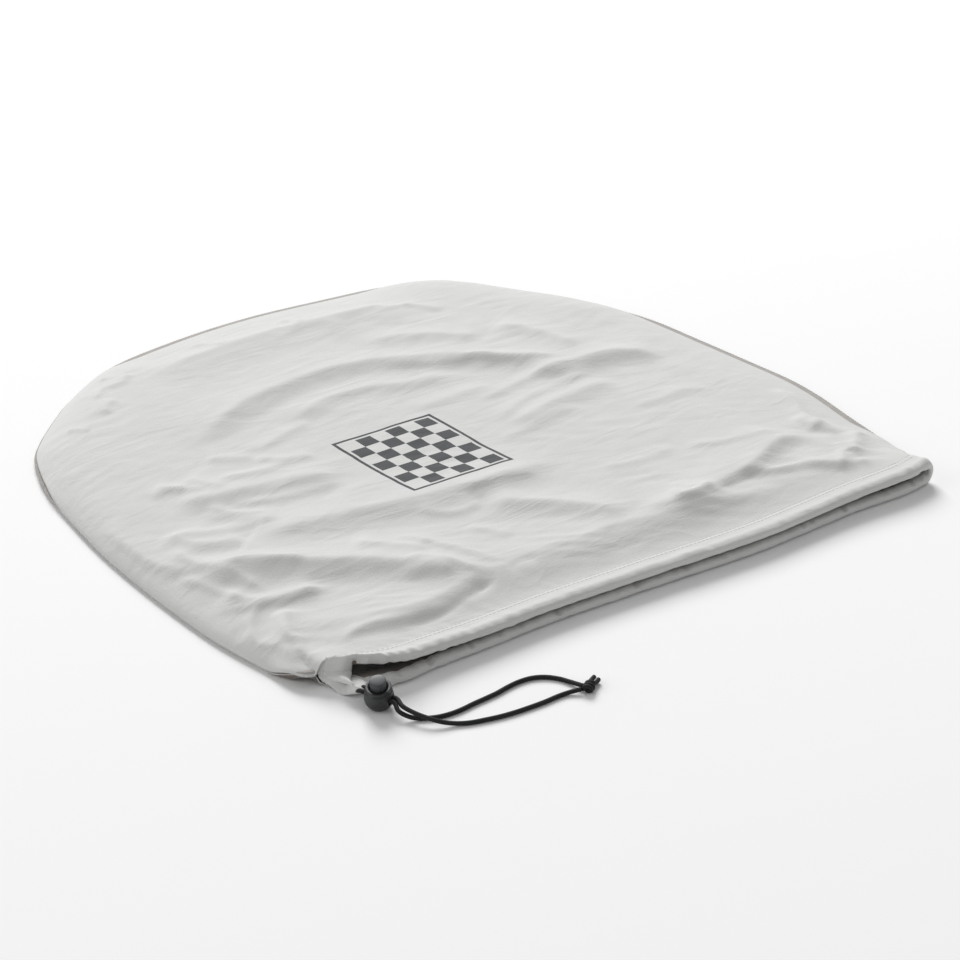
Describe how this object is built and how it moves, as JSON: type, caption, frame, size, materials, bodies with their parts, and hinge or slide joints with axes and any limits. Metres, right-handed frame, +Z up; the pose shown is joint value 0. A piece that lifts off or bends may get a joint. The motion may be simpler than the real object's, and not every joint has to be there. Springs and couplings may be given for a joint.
{
  "type": "motorcycle helmet bag",
  "caption": "Soft drawstring sack for a motorcycle helmet, lying flat, with a cord casing round its mouth, a spring cord lock and a knotted cord end.",
  "frame": {"origin": "on the surface that the sack lies on, under the middle of the sack's box, cord and lock left out", "axes": "+X along the mouth to the right, +Y from the mouth to the rounded base, +Z up from the surface"},
  "size_m": [0.489, 0.523, 0.0236],
  "materials": {
    "cloth": "soft brushed knit, light grey, matte",
    "seam_thread": "overlocked thread, grey, matte",
    "cord": "round braided cord, black, slight sheen",
    "lock_plastic": "moulded, black, satin",
    "button_plastic": "moulded, dark grey, satin"
  },
  "bodies": {
    "bag": {"top_panel": "cloth", "bottom_panel": "cloth", "edge_seam": "seam_thread", "hem_upper": "cloth", "hem_lower": "cloth", "drawcord": "cord", "cord_strand_a": "cord", "cord_strand_b": "cord", "end_knot": "cord", "cord_lock_body": "lock_plastic"},
    "lock_button": {"cord_lock_button": "button_plastic"}
  },
  "joints": [
    {"name": "button_press", "type": "slide", "parent": "bag", "child": "lock_button", "axis": [0.1899, 0.1599, -0.9687], "range_m": [0, 0.003], "stiffness_N_per_m": 800}
  ]
}
